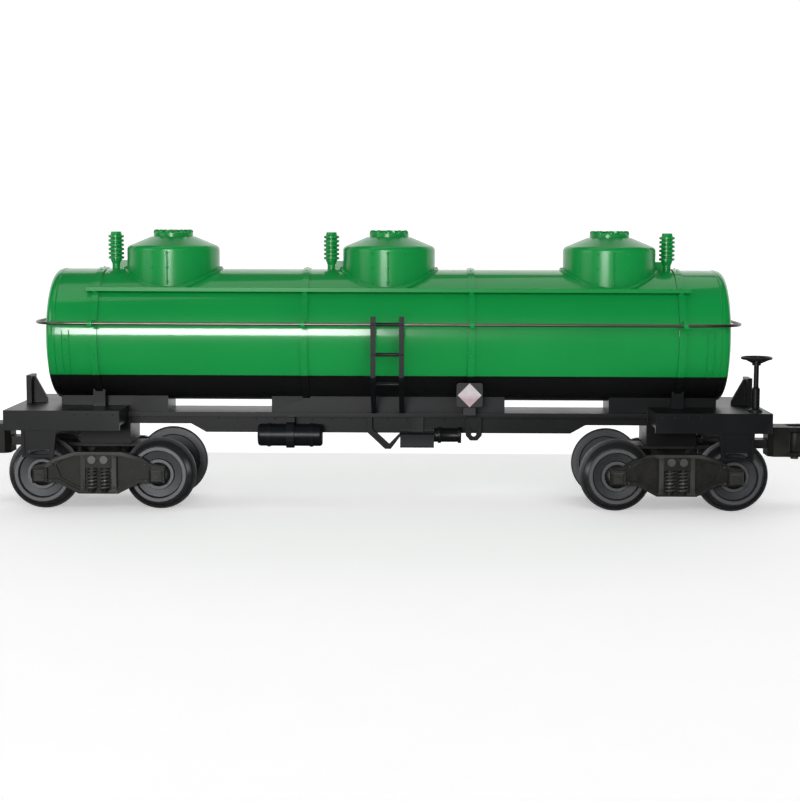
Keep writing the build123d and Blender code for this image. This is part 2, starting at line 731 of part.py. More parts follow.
def draw_plate():
    """The plate under the body bolster that carries the coupler."""
    back = head_back_x - truck_x
    plate = block((-draw_plate_inboard, 8.0), mirrored(draw_plate_half), draw_plate_z)
    plate += block((7.0, plunger_dx + 6.0), mirrored(draw_plate_half - 1.0), draw_plate_z)
    plate += block((plunger_dx + 5.0, back), mirrored(shank_half_width), draw_plate_z)
    plate += block((plunger_dx + 9.0, back), mirrored(shank_half_width),
                   (draw_plate_z[0], draw_plate_z[1] + 1.6))
    plate -= rod_z(kingpin_radius + kingpin_clear, (0, body_bolster_z + 1))
    plate -= rod_z(plunger_radius + plunger_clear, (0, 30), plunger_dx)
    return plate


def coupler_head():
    back, front = head_back_x - truck_x, head_front_x - truck_x
    body = block((back, front), mirrored(head_half_width), head_z)
    body = chamfer(body.edges().filter_by(Axis.Z).sort_by(Axis.X)[0:2], 1.6)
    guard = [(front - 0.6, head_half_width - guard_thick), (front - 0.6, head_half_width),
             (front + guard_length, head_half_width + 0.8),
             (front + guard_length + 0.6, head_half_width - 0.2),
             (front + guard_length - 0.4, head_half_width - guard_thick + 0.6)]
    arm = Plane.XY * make_face(Polyline(*guard, close=True))
    body += Pos(0, 0, head_z[0]) * extrude(arm, amount=head_z[1] - head_z[0], dir=(0, 0, 1))
    for z in ((head_z[0], head_z[0] + ear_thick), (head_z[1] - ear_thick, head_z[1])):
        body += rod_z(knuckle_hub, z, pivot_dx, -knuckle_pivot_y)
        body += block((front - 0.5, pivot_dx), (-knuckle_pivot_y - knuckle_hub,
                                                -knuckle_pivot_y + knuckle_hub), z)
    body -= rod_z(knuckle_hub + 0.35, knuckle_z, pivot_dx, -knuckle_pivot_y)
    body -= rod_z(pin_radius, (0, 40), pivot_dx, -knuckle_pivot_y)
    return body


def knuckle():
    reach = coupler_face_x - knuckle_pivot_x
    hub = rod_z(knuckle_hub, knuckle_z)
    outline = Polyline((0, -knuckle_hub), (reach - 1.6, -knuckle_hub), (reach, -knuckle_hub + 1.8),
                       (reach, hook_reach - 1.2), (reach - 0.7, hook_reach),
                       (reach - hook_thick, hook_reach - 0.4), (reach - hook_thick, knuckle_hub + 0.6),
                       (reach - hook_thick - 0.9, knuckle_hub - 0.2), (0, knuckle_hub - 0.2), close=True)
    face = Plane.XY * make_face(outline)
    arm = Pos(0, 0, knuckle_z[0]) * extrude(face, amount=knuckle_z[1] - knuckle_z[0], dir=(0, 0, 1))
    body = hub + arm - rod_z(pin_radius + pin_clear, (0, 40))
    return Pos(pivot_dx, -knuckle_pivot_y, 0) * body


def knuckle_pin():
    pin = rod_z(pin_radius, (head_z[0] - 0.2, head_z[1] - 0.2))
    pin += rod_z(pin_radius + 0.5, (head_z[0] - 0.2 - pin_head, head_z[0]))
    return Pos(pivot_dx, -knuckle_pivot_y, 0) * pin


def plunger():
    cap_z = draw_plate_z[1] + plunger_travel + 0.1
    rod = rod_z(plunger_radius, (plunger_disc_z + 0.2, cap_z + 0.2))
    disc = rod_z(plunger_disc_radius, (plunger_disc_z, plunger_disc_z + plunger_disc))
    disc = fillet(disc.edges().filter_by(GeomType.CIRCLE).sort_by(Axis.Z)[0], 0.35)
    cap = rod_z(plunger_cap_radius, (cap_z, cap_z + plunger_cap))
    return Pos(plunger_dx, 0, 0) * (rod + disc + cap)


def build_tank():
    outside = tank_outside()
    save(tank_shell(outside), "tank_shell")
    cap = end_cap()
    save(cap, "tank_end_right")
    save(half_turn(cap), "tank_end_left")
    for name, x, side in zip(dome_names, dome_places, valve_sides):
        save(dome(x, outside), f"dome_{name}")
        save(hatch_cover(x), f"hatch_cover_{name}")
        save(safety_valve(x, side, outside), f"safety_valve_{name}")
    save(hatch_bolts(), "hatch_bolts")
    rail = handrail()
    save(rail, "handrail_right")
    save(half_turn(rail), "handrail_left")
    save(handrail_stanchions(), "handrail_stanchions")
    near = ladder()
    save(near, "ladder_near")
    save(half_turn(near), "ladder_far")


def build_frame():
    save(frame(), "frame")
    save(tank_screws(), "tank_screws")
    save(air_reservoir(), "air_reservoir")
    save(brake_cylinder(), "brake_cylinder")
    save(brake_lever(), "brake_lever")
    save(brake_hanger(), "brake_hanger")
    board = placard()
    save(board, "placard_near")
    save(half_turn(board), "placard_far")
    save(brake_stand(), "brake_stand")
    save(brake_wheel(), "brake_wheel")


def build_truck(name, place):
    near = side_frame()
    save(place * kingpin(), f"kingpin_{name}")
    save(place * near, f"side_frame_{name}_a")
    save(place * half_turn(near), f"side_frame_{name}_b")
    save(place * cross_beam(), f"truck_bolster_{name}")
    save(Compound(children=[place * rivet for rivet in truck_rivets()]), f"truck_rivets_{name}")
    save(place * draw_plate(), f"draw_plate_{name}")
    save(place * coupler_head(), f"coupler_head_{name}")
    save(place * knuckle(), f"knuckle_{name}")
    save(place * knuckle_pin(), f"knuckle_pin_{name}")
    save(place * plunger(), f"uncoupling_plunger_{name}")
    for end, x in (("inner", -wheelbase / 2), ("outer", wheelbase / 2)):
        save(place * axle(x), f"axle_{name}_{end}")
        wheels = [place * wheel for wheel in wheel_pair(x)]
        save(Compound(children=wheels), f"wheels_{name}_{end}")


build_tank()
build_frame()
build_truck("right", Pos(truck_x, 0, 0))
build_truck("left", Rot(0, 0, 180) * Pos(truck_x, 0, 0))
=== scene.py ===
import bpy
import bmesh
import json
from math import cos, pi, radians, sin, sqrt, tau
from mathutils import Matrix, Vector
from bpy.props import FloatProperty, FloatVectorProperty, IntProperty, PointerProperty


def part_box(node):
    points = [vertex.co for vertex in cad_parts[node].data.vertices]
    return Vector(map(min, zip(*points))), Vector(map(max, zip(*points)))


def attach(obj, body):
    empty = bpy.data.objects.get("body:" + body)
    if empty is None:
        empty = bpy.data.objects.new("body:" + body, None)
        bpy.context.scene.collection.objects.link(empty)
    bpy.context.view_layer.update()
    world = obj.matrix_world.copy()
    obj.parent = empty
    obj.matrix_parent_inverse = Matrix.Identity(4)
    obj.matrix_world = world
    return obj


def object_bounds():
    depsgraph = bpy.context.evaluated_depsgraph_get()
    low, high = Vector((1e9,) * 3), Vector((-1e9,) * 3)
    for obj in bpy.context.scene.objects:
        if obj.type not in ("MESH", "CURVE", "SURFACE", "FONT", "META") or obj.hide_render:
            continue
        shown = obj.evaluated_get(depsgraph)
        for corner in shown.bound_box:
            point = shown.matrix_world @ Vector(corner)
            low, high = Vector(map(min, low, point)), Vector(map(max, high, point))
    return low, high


bl_info = {
    "name": "Model tank wagon finish",
    "version": (1, 0, 0),
    "blender": (4, 5, 0),
    "location": "3D View > Sidebar > Wagon",
    "description": "Adds the finishes and the fine pieces of a model tank wagon to its solid frame",
    "category": "Object",
}

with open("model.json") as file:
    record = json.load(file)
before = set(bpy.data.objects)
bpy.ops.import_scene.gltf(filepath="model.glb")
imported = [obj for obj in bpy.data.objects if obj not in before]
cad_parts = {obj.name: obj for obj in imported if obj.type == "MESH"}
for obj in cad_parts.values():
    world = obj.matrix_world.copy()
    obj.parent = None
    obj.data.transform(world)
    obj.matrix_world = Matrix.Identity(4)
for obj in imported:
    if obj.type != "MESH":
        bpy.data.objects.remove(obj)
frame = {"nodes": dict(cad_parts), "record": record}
CAD_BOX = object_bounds()
MM = 0.001
ROOT = "car_body"
NODES = frame["nodes"]


# ---- places read from the frame ---------------------------------------------------------------
def middle(node):
    low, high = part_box(node)
    return (low + high) / 2


def extent(node):
    low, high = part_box(node)
    return high - low


SHELL_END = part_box("tank_shell")[1].x
TANK_RADIUS = extent("tank_end_right").z / 2
TANK_Z = middle("tank_end_right").z
DOMES = [middle(f"dome_{name}") for name in ("left", "middle", "right")]
STANCHION_Z = middle("handrail_stanchions").z
TRUCKS = {side: middle(f"truck_bolster_{side}") for side in ("left", "right")}
AXLES = {(side, end): middle(f"axle_{side}_{end}") for side in ("left", "right")
         for end in ("inner", "outer")}
BOARD_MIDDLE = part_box("placard_near")[1] - Vector((0, 0, 3.8 * MM))
BAND_X = (-91.2 * MM, -26.0 * MM, 26.0 * MM, 91.2 * MM)


# ---- settings ---------------------------------------------------------------------------------
def length(name, millimetres, about):
    return FloatProperty(name=name, description=about, default=millimetres * MM, min=0.0,
                         unit="LENGTH", precision=5)


def tint(name, rgb, about):
    return FloatVectorProperty(name=name, description=about, default=rgb, subtype="COLOR",
                               size=3, min=0.0, max=1.0)


class WagonColours(bpy.types.PropertyGroup):
    green: tint("Green", (0.0062, 0.290, 0.057), "Upper tank, ends and domes")
    black: tint("Black", (0.0072, 0.0078, 0.0075), "Lower half of the tank shell")
    frame: tint("Frame", (0.0060, 0.0068, 0.0078), "Moulded frame and its fittings")
    wire: tint("Wire", (0.22, 0.19, 0.17), "Handrail wire")
    casting: tint("Casting", (0.0100, 0.0100, 0.0090), "Truck side frames")
    wheel: tint("Wheel", (0.028, 0.030, 0.033), "Wheel faces")
    tread: tint("Tread", (0.11, 0.11, 0.115), "Worn wheel treads")
    steel: tint("Steel", (0.045, 0.045, 0.047), "Screws, rivets and pins")
    board: tint("Board", (0.62, 0.56, 0.58), "Plain diamond on the board")
    floor: tint("Floor", (0.90, 0.90, 0.90), "Floor and backdrop")


class WagonSizes(bpy.types.PropertyGroup):
    split_height: length("Split", 42.6, "Height of the line between green and black")
    rivet: length("Rivet", 0.32, "Radius of the tank rivets")
    seam: length("Seam", 0.16, "Radius of the raised seam lines")
    edge: length("Edge", 0.16, "Rounding of moulded edges")
    spring_wire: length("Spring wire", 0.34, "Radius of the truck spring wire")
    spring_coil: length("Spring coil", 1.5, "Radius of the truck springs")
    spring_turns: IntProperty(name="Spring turns", description="Turns in each truck spring",
                              default=6, min=2)


def colours():
    return bpy.context.scene.wagon_colours


def sizes():
    return bpy.context.scene.wagon_sizes


# ---- shader maths -----------------------------------------------------------------------------
class Wire:
    """One output inside a finish, with operators that add the nodes for them."""

    def __init__(self, finish, socket):
        self.finish, self.socket = finish, socket

    def _math(self, operation, *values, clamp=False):
        return self.finish.node("ShaderNodeMath", {"operation": operation, "use_clamp": clamp},
                                dict(enumerate(values)))

    def __add__(self, other):
        return self._math("ADD", self, other)

    def __sub__(self, other):
        return self._math("SUBTRACT", self, other)

    def __rsub__(self, other):
        return self._math("SUBTRACT", other, self)

    def __mul__(self, other):
        return self._math("MULTIPLY", self, other)

    def __truediv__(self, other):
        return self._math("DIVIDE", self, other)

    def __abs__(self):
        return self._math("ABSOLUTE", self)

    __radd__, __rmul__ = __add__, __mul__

    def clamped(self):
        return self._math("ADD", self, 0.0, clamp=True)

    def above(self, edge, soft):
        """0 below the edge and 1 above it, over a soft width."""
        return self._math("ADD", (self - edge) / soft, 0.5, clamp=True)


class Finish:
    """A material being made, with its Principled shader."""

    def __init__(self, name, **uniform):
        self.material = bpy.data.materials.new(name)
        self.material.use_nodes = True
        self.tree = self.material.node_tree
        self.tree.nodes.clear()
        self.shader = self.tree.nodes.new("ShaderNodeBsdfPrincipled")
        output = self.tree.nodes.new("ShaderNodeOutputMaterial")
        self.tree.links.new(self.shader.outputs["BSDF"], output.inputs["Surface"])
        for key, value in uniform.items():
            self.socket(key).default_value = value

    def socket(self, key):
        """The shader's input with a name written like base_color."""
        return self.shader.inputs["IOR" if key == "ior" else key.replace("_", " ").title()]

    def feed(self, socket, value):
        if isinstance(value, Wire):
            self.tree.links.new(value.socket, socket)
        elif isinstance(value, (tuple, list)) and len(value) == 3 and socket.type == "RGBA":
            socket.default_value = (*value, 1.0)
        else:
            socket.default_value = value

    def node(self, kind, settings=None, inputs=None, out=0):
        node = self.tree.nodes.new(kind)
        for key, value in (settings or {}).items():
            setattr(node, key, value)
        for key, value in (inputs or {}).items():
            self.feed(node.inputs[key], value)
        return Wire(self, node.outputs[out])

    def place(self):
        return self.node("ShaderNodeTexCoord", out="Object")

    def axis(self, name, of=None):
        return self.node("ShaderNodeSeparateXYZ", None, {0: of or self.place()}, name)

    def noise(self, per_metre, detail=3.0, rough=0.55, stretch=None):
        where = self.place()
        if stretch:
            where = self.node("ShaderNodeVectorMath", {"operation": "MULTIPLY"},
                              {0: where, 1: stretch})
        return self.node("ShaderNodeTexNoise", None, {"Vector": where, "Scale": per_metre,
                                                      "Detail": detail, "Roughness": rough})

    def edges(self, low=0.52, high=0.60):
        """1 along outward edges, from the surface's own curvature; it pales edges as rubbed wear
        and as a painted highlight.
        """
        point = self.node("ShaderNodeNewGeometry", out="Pointiness")
        return ((point - low) / (high - low)).clamped()

    def mix(self, share, first, second):
        node = self.tree.nodes.new("ShaderNodeMix")
        node.data_type = "RGBA"
        for key, value in ((0, share), (6, first), (7, second)):
            self.feed(node.inputs[key], value)
        return Wire(self, node.outputs[2])

    def shade(self, colour, amount):
        """The colour multiplied by a grey amount."""
        node = self.tree.nodes.new("ShaderNodeMix")
        node.data_type, node.blend_type = "RGBA", "MULTIPLY"
        grey = self.node("ShaderNodeCombineXYZ", None, {0: amount, 1: amount, 2: amount})
        for key, value in ((0, 1.0), (6, colour), (7, grey)):
            self.feed(node.inputs[key], value)
        return Wire(self, node.outputs[2])

    def bump(self, height, strength, distance):
        return self.node("ShaderNodeBump", None, {"Strength": strength, "Distance": distance,
                                                  "Height": height})

    def done(self, **varying):
        for key, value in varying.items():
            self.feed(self.socket(key), value)
        return self.material


# ---- finishes ---------------------------------------------------------------------------------
def paint_surface(finish, colour):
    """Sprayed gloss paint: cloudy tone, faint dust, orange peel."""
    cloud = finish.noise(38, 2.0)
    dust = finish.noise(1400, 2.0, 0.7)
    tone = 0.90 + cloud * 0.20
    base = finish.shade(colour, tone)
    rough = 0.24 + cloud * 0.10 + dust * 0.05
    peel = finish.noise(900, 2.0) + finish.noise(260, 1.0) * 1.5
    return {"base_color": base, "roughness": rough, "normal": finish.bump(peel, 0.06, 0.05 * MM)}


def green_paint():
    finish = Finish("green_gloss_paint", coat_weight=0.5, coat_roughness=0.18, ior=1.25)
    return finish.done(**paint_surface(finish, tuple(colours().green)))


def tank_paint():
    """Green above and black below, parted by a masked line with a slight bleed."""
    finish = Finish("two_tone_tank_paint", coat_roughness=0.10, ior=1.25)
    height = finish.axis("Z") + (finish.noise(700, 2.0) - 0.5) * (0.12 * MM)
    upper = height.above(sizes().split_height, 0.10 * MM)
    colour = finish.mix(upper, tuple(colours().black), tuple(colours().green))
    return finish.done(coat_weight=0.12 + upper * 0.68, **paint_surface(finish, colour))


def frame_plastic():
    """Moulded black plastic: fine grain, edges paler as rubbed wear and as a painted highlight."""
    finish = Finish("moulded_black_plastic", ior=1.32)
    grain = finish.noise(2600, 2.0, 0.6)
    cloud = finish.noise(60, 3.0)
    base = finish.shade(tuple(colours().frame), 0.8 + cloud * 0.45)
    # Paler edges, partly rubbed wear and partly a painted highlight on the rims.
    base = finish.mix(finish.edges(0.55, 0.70) * 0.4, base, (0.075, 0.077, 0.082))
    rough = 0.27 + cloud * 0.14 + grain * 0.05
    return finish.done(base_color=base, roughness=rough,
                       normal=finish.bump(grain, 0.15, 0.03 * MM))


def cast_metal(name, colour, dusty):
    """Blackened casting: lumpy skin, brown dust low down in the grain."""
    finish = Finish(name, metallic=0.3, ior=1.4)
    lumps = finish.noise(420, 4.0, 0.6)
    pits = finish.noise(1700, 2.0, 0.7)
    base = finish.mix((lumps * 1.6 - 0.45).clamped() * dusty, colour, (0.040, 0.037, 0.029))
    # Paler edges, partly rubbed wear and partly a painted highlight on the rims.
    base = finish.mix(finish.edges(0.54, 0.66) * 0.5, base, (0.11, 0.11, 0.10))
    rough = 0.36 + lumps * 0.22
    height = lumps + pits * 0.5
    return finish.done(base_color=base, roughness=rough,
                       normal=finish.bump(height, 0.35, 0.10 * MM))


def truck_casting():
    return cast_metal("blackened_truck_casting", tuple(colours().casting), 0.6)


def coupler_casting():
    return cast_metal("blackened_coupler_casting", tuple(c * 1.1 for c in colours().casting), 0.3)


def handrail_wire():
    """Drawn wire, dull nickel with faint lengthwise marks."""
    finish = Finish("drawn_rail_wire", metallic=0.9, ior=2.0)
    marks = finish.noise(500, 3.0, 0.6, (0.05, 4.0, 4.0))
    base = finish.shade(tuple(colours().wire), 0.75 + marks * 0.5)
    rough = 0.28 + marks * 0.16
    return finish.done(base_color=base, roughness=rough,
                       normal=finish.bump(marks, 0.15, 0.02 * MM))


def dark_steel():
    finish = Finish("blackened_steel", metallic=0.5, ior=1.5)
    marks = finish.noise(1300, 3.0, 0.6)
    base = finish.shade(tuple(colours().steel), 0.7 + marks * 0.6)
    # Paler edges, partly rubbed wear and partly a painted highlight on the rims.
    base = finish.mix(finish.edges() * 0.4, base, (0.17, 0.17, 0.175))
    return finish.done(base_color=base, roughness=0.30 + marks * 0.2,
                       normal=finish.bump(marks, 0.2, 0.03 * MM))


def turned_steel():
    finish = Finish("turned_axle_steel", metallic=1.0, ior=2.0)
    rings = finish.noise(900, 2.0, 0.5, (0.4, 6.0, 0.4))
    base = finish.shade((0.30, 0.30, 0.31), 0.7 + rings * 0.5)
    return finish.done(base_color=base, roughness=0.25 + rings * 0.2,
                       normal=finish.bump(rings, 0.2, 0.02 * MM))


def wheel_steel():
    """Blackened wheel with bright worn treads: the surfaces that face away from the axle."""
    finish = Finish("blackened_wheel_steel", metallic=0.6, ior=2.0)
    across = finish.node("ShaderNodeSeparateXYZ", None,
                         {0: finish.node("ShaderNodeTexCoord", out="Normal")}, "Y")
    tread = 1.0 - abs(across).above(0.45, 0.3)
    skin = finish.noise(800, 3.0, 0.6)
    base = finish.shade(tuple(colours().wheel), 0.65 + skin * 0.7)
    # Paler face rims, partly rubbed wear and partly a painted highlight.
    base = finish.mix(finish.edges(0.51, 0.57) * 0.45, base, (0.19, 0.19, 0.20))
    base = finish.mix(tread * 0.6, base, tuple(colours().tread))
    rough = 0.40 + skin * 0.18 - tread * 0.15
    return finish.done(base_color=base, roughness=rough, normal=finish.bump(skin, 0.25, 0.05 * MM))


def board_paint():
    """A dark board whose raised diamond is pale, with a faint warm lower half."""
    finish = Finish("plain_board_paint", ior=1.4)
    cloud = finish.noise(700, 3.0)
    raised = abs(finish.axis("Y")).above(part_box("placard_far")[1].y + 0.08 * MM, 0.04 * MM)
    low = 1.0 - finish.axis("Z").above(BOARD_MIDDLE.z - 0.6 * MM, 1.4 * MM)
    pale = finish.mix(low * 0.55, tuple(colours().board), (0.42, 0.20, 0.24))
    base = finish.mix(raised, (0.022, 0.022, 0.023), finish.shade(pale, 0.8 + cloud * 0.3))
    return finish.done(base_color=base, roughness=0.40 + cloud * 0.15,
                       normal=finish.bump(cloud, 0.1, 0.03 * MM))


def stage_paint(name="plain_floor", glow=0.43):
    finish = Finish(name, ior=1.2, emission_strength=glow)
    speck = finish.noise(60, 2.0)
    base = finish.shade(tuple(colours().floor), 0.985 + speck * 0.03)
    return finish.done(base_color=base, roughness=0.7 + speck * 0.1, emission_color=base)


def backdrop_paint():
    return stage_paint("plain_backdrop", 0.72)


FINISHES = {"tank_paint": tank_paint, "green_paint": green_paint, "black_plastic": frame_plastic,
            "truck_casting": truck_casting, "coupler_casting": coupler_casting,
            "rail_wire": handrail_wire, "dark_steel": dark_steel, "axle_steel": turned_steel,
            "wheel_steel": wheel_steel, "placard_paint": board_paint, "stage": stage_paint,
            "backdrop": backdrop_paint}
made = {}


def finish_of(slot):
    if slot not in made:
        made[slot] = FINISHES[slot]()
    return made[slot]


# ---- mesh makers ------------------------------------------------------------------------------
def piece(name, mesh, slot, body=ROOT, bevel=0.0, smooth=True):
    """A finished mesh as a piece that rides on a body."""
    data = bpy.data.meshes.new(name)
    bmesh.ops.recalc_face_normals(mesh, faces=mesh.faces)
    mesh.to_mesh(data)
    mesh.free()
    made_object = bpy.data.objects.new(name, data)
    bpy.context.scene.collection.objects.link(made_object)
    data.materials.append(finish_of(slot))
    if bevel:
        rounding = made_object.modifiers.new("edge", "BEVEL")
        rounding.width, rounding.segments, rounding.limit_method = bevel, 2, "ANGLE"
        rounding.angle_limit = radians(35)
    if smooth:
        data.shade_smooth()
        data.set_sharp_from_angle(angle=radians(38))
    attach(made_object, body)
    return made_object


def frame_towards(direction):
    """A turn that takes +Z to a direction."""
    return Vector(direction).to_track_quat("Z", "Y").to_matrix().to_4x4()


def add_lathe(mesh, profile, origin, direction=(0, 0, 1), around=24):
    """Adds (radius, height) points turned about a direction through the origin."""
    place = Matrix.Translation(Vector(origin)) @ frame_towards(direction)
    rings = []
    for radius, height in profile:
        if radius < 1e-7:
            rings.append([mesh.verts.new(place @ Vector((0, 0, height)))])
        else:
            circle = [(radius * cos(tau * step / around), radius * sin(tau * step / around))
                      for step in range(around)]
            rings.append([mesh.verts.new(place @ Vector((x, y, height))) for x, y in circle])
    for low, high in zip(rings, rings[1:]):
        for step in range(around):
            after = (step + 1) % around
            corners = [low[0]] if len(low) == 1 else [low[step], low[after]]
            corners += [high[0]] if len(high) == 1 else [high[after], high[step]]
            if len(corners) > 2:
                mesh.faces.new(corners)


def add_stud(mesh, origin, direction, radius, around=12):
    """A round rivet head, sunk a little into what carries it."""
    steps = 4
    dome = [(radius * cos(pi / 2 * step / steps), radius * 0.75 * sin(pi / 2 * step / steps))
            for step in range(steps)]
    add_lathe(mesh, [(0, -radius * 0.3), (radius, -radius * 0.3), *dome, (0, radius * 0.75)],
              origin, direction, around)


def add_nut(mesh, origin, direction, radius, height):
    """A hexagon nut with its bolt end."""
    add_lathe(mesh, [(0, -height * 0.2), (radius, -height * 0.2), (radius, height * 0.8),
                     (radius * 0.88, height), (0, height)], origin, direction, 6)
    add_lathe(mesh, [(0, height * 0.9), (radius * 0.5, height * 0.9),
                     (radius * 0.5, height * 1.35), (radius * 0.3, height * 1.5),
                     (0, height * 1.5)], origin, direction, 12)


def add_block(mesh, low, high):
    corners = [mesh.verts.new((x, y, z)) for x in (low[0], high[0]) for y in (low[1], high[1])
               for z in (low[2], high[2])]
    for face in ((0, 1, 3, 2), (4, 6, 7, 5), (0, 4, 5, 1), (2, 3, 7, 6),
                 (0, 2, 6, 4), (1, 5, 7, 3)):
        mesh.faces.new([corners[index] for index in face])


def add_tube(mesh, points, radius, around=10, closed=False):
    """A round tube along points, with flat ends unless it is closed."""
    count = len(points)
    points = [Vector(point) for point in points]
    rings, side = [], None
    for index, point in enumerate(points):
        before = points[index - 1] if index or closed else point
        after = points[(index + 1) % count] if index < count - 1 or closed else point
        along = (after - before).normalized()
        if side is None:
            side = along.orthogonal().normalized()
        side = (side - along * side.dot(along)).normalized()
        up = along.cross(side)
        rings.append([mesh.verts.new(point + radius * (side * cos(tau * step / around)
                                                       + up * sin(tau * step / around)))
                      for step in range(around)])
    pairs = list(zip(rings, rings[1:])) + ([(rings[-1], rings[0])] if closed else [])
    for low, high in pairs:
        for step in range(around):
            after = (step + 1) % around
            mesh.faces.new((low[step], low[after], high[after], high[step]))
    if not closed:
        mesh.faces.new(rings[0][::-1])
        mesh.faces.new(rings[-1])


def tank_point(x, angle, radius):
    """A point on a cylinder about the tank's axis; the angle is from straight out, upwards."""
    return Vector((x, -radius * cos(angle), TANK_Z + radius * sin(angle)))


# ---- pieces -----------------------------------------------------------------------------------
class WagonPiece(bpy.types.Operator):
    """Base of the wagon's piece makers"""
    bl_options = {"REGISTER", "UNDO"}

    def execute(self, context):
        self.build()
        return {"FINISHED"}


class WAGON_OT_finish_frame(WagonPiece):
    """Give every solid its finish and round its moulded edges"""
    bl_idname = "wagon.finish_frame"
    bl_label = "Finish the solids"

    def build(self):
        slots = {entry["node"]: entry["material_slot"] for entry in frame["record"]["subparts"]}
        angular = ("frame", "placard", "ladder", "brake_c", "brake_l", "brake_h", "side_frame",
                   "truck_b", "draw", "coupler", "knuckle_l", "knuckle_r")
        for name, solid in NODES.items():
            solid.data.materials.clear()
            solid.data.materials.append(finish_of(slots[name]))
            if not name.startswith(angular):
                continue
            weld = solid.modifiers.new("weld", "WELD")
            weld.merge_threshold = 0.001 * MM
            rounding = solid.modifiers.new("edge", "BEVEL")
            rounding.width, rounding.segments = sizes().edge, 2
            rounding.limit_method, rounding.angle_limit = "ANGLE", radians(40)
            rounding.harden_normals = True


class WAGON_OT_tank_rivets(WagonPiece):
    """Rivets along the tank's bands"""
    bl_idname = "wagon.tank_rivets"
    bl_label = "Tank rivets"

    def build(self):
        mesh = bmesh.new()
        surface = TANK_RADIUS + 0.5 * MM
        for x in BAND_X:
            for degrees_up in range(-75, 256, 15):
                angle = radians(degrees_up)
                out = tank_point(x, angle, 1.0) - tank_point(x, angle, 0.0)
                add_stud(mesh, tank_point(x, angle, surface - 0.05 * MM), out, sizes().rivet)
        piece("tank_rivets", mesh, "tank_paint")


class WAGON_OT_tank_seams(WagonPiece):
    """The seam where each tank end is let in, and riveted straps beside it"""
    bl_idname = "wagon.tank_seams"
    bl_label = "Tank seams"

    def build(self):
        mesh = bmesh.new()
        surface, around = TANK_RADIUS + 0.02 * MM, 96
        for side in (-1, 1):
            ring = [tank_point(side * (SHELL_END - 0.2 * MM), tau * step / around, surface)
                    for step in range(around)]
            add_tube(mesh, ring, sizes().seam, 8, closed=True)
        piece("tank_seams", mesh, "tank_paint")
        mesh = bmesh.new()
        strap_top, strap_sweep, steps = radians(6), radians(38), 12
        for side in (-1, 1):
            for face in (0, pi):
                upward = 1 if face == 0 else -1
                for x in (98.9, 101.1):
                    strip = [tank_point(side * x * MM,
                                        face + (strap_top - strap_sweep * step / steps) * upward,
                                        surface) for step in range(steps + 1)]
                    add_tube(mesh, strip, sizes().seam, 8)
                for degrees_down in (2, 14, 26, 36):
                    angle = face - radians(degrees_down) * upward
                    out = tank_point(0, angle, 1.0) - tank_point(0, angle, 0.0)
                    add_stud(mesh, tank_point(side * 100 * MM, angle, surface), out, sizes().rivet)
        piece("tank_end_straps", mesh, "tank_paint")


class WAGON_OT_dome_studs(WagonPiece):
    """Rivets round each dome's foot, and its seam and lugs"""
    bl_idname = "wagon.dome_studs"
    bl_label = "Dome rivets"

    def build(self):
        radius, studs, widest = 15.25 * MM, 28, 13.3 * MM
        for name, centre in zip(("left", "middle", "right"), DOMES):
            mesh = bmesh.new()
            for step in range(studs):
                angle = tau * (step + 0.5) / studs
                dx, y = radius * cos(angle), radius * sin(angle)
                if abs(y) > widest:
                    continue
                height = TANK_Z + sqrt((TANK_RADIUS + 0.6 * MM) ** 2 - y ** 2)
                add_stud(mesh, (centre.x + dx, y, height), (0, y, height - TANK_Z), sizes().rivet)
            wall = extent(f"dome_{name}").x / 2 - 1.1 * MM
            for face in (-1, 1):
                seam = [(centre.x, face * (wall + 0.02 * MM), z * MM)
                        for z in (70.6, 74.0, 78.0, 81.2)]
                add_tube(mesh, seam, sizes().seam * 1.4, 8)
                for z in (71.6, 76.0, 80.6):
                    for lean in (-0.34, 0.0, 0.34):
                        out = Vector((sin(lean), face * cos(lean), 0))
                        where = Vector((centre.x, 0, z * MM)) + out * wall
                        add_stud(mesh, where, out, sizes().rivet * (1.5 if lean == 0 else 1.1))
            piece(f"dome_studs_{name}", mesh, "green_paint")


class WAGON_OT_hatch_fittings(WagonPiece):
    """Round-headed clamps that stand round each hatch's rim"""
    bl_idname = "wagon.hatch_fittings"
    bl_label = "Hatch fittings"

    def build(self):
        top = CAD_BOX[1][2]
        clamps, ring, root = 10, 5.5 * MM, -1.2 * MM
        for name, centre in zip(("left", "middle", "right"), DOMES):
            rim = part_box(f"hatch_cover_{name}")[1].z
            tall = top - rim
            clamp = [(0, root), (0.85 * MM, root), (0.9 * MM, tall - 0.75 * MM),
                     (0.72 * MM, tall - 0.35 * MM), (0.4 * MM, tall - 0.1 * MM),
                     (0, tall - 0.05 * MM)]
            mesh = bmesh.new()
            for step in range(clamps):
                angle = tau * (step + 0.5) / clamps
                add_lathe(mesh, clamp,
                          (centre.x + ring * cos(angle), ring * sin(angle), rim), around=14)
            piece(f"hatch_clamps_{name}", mesh, "green_paint")


class WAGON_OT_truck_springs(WagonPiece):
    """Coil springs in the side frames"""
    bl_idname = "wagon.truck_springs"
    bl_label = "Truck springs"

    def build(self):
        wire, turns = sizes().spring_wire, sizes().spring_turns
        coil_radius = sizes().spring_coil
        low_z, high_z, apart = 6.9 * MM, 13.4 * MM, 2.0 * MM
        steps = 16
        for side, centre in TRUCKS.items():
            for mark, facing in (("a", -1), ("b", 1)):
                mesh = bmesh.new()
                sign = facing if side == "right" else -facing
                face_y = sign * 21.4 * MM
                for dx in (-apart, apart):
                    coil = [(centre.x + dx + coil_radius * cos(tau * k / steps),
                             face_y + coil_radius * sin(tau * k / steps),
                             low_z + (high_z - low_z) * k / (steps * turns))
                            for k in range(steps * turns + 1)]
                    add_tube(mesh, coil, wire, 8)
                piece(f"truck_springs_{side}_{mark}", mesh, "dark_steel", f"truck_{side}")


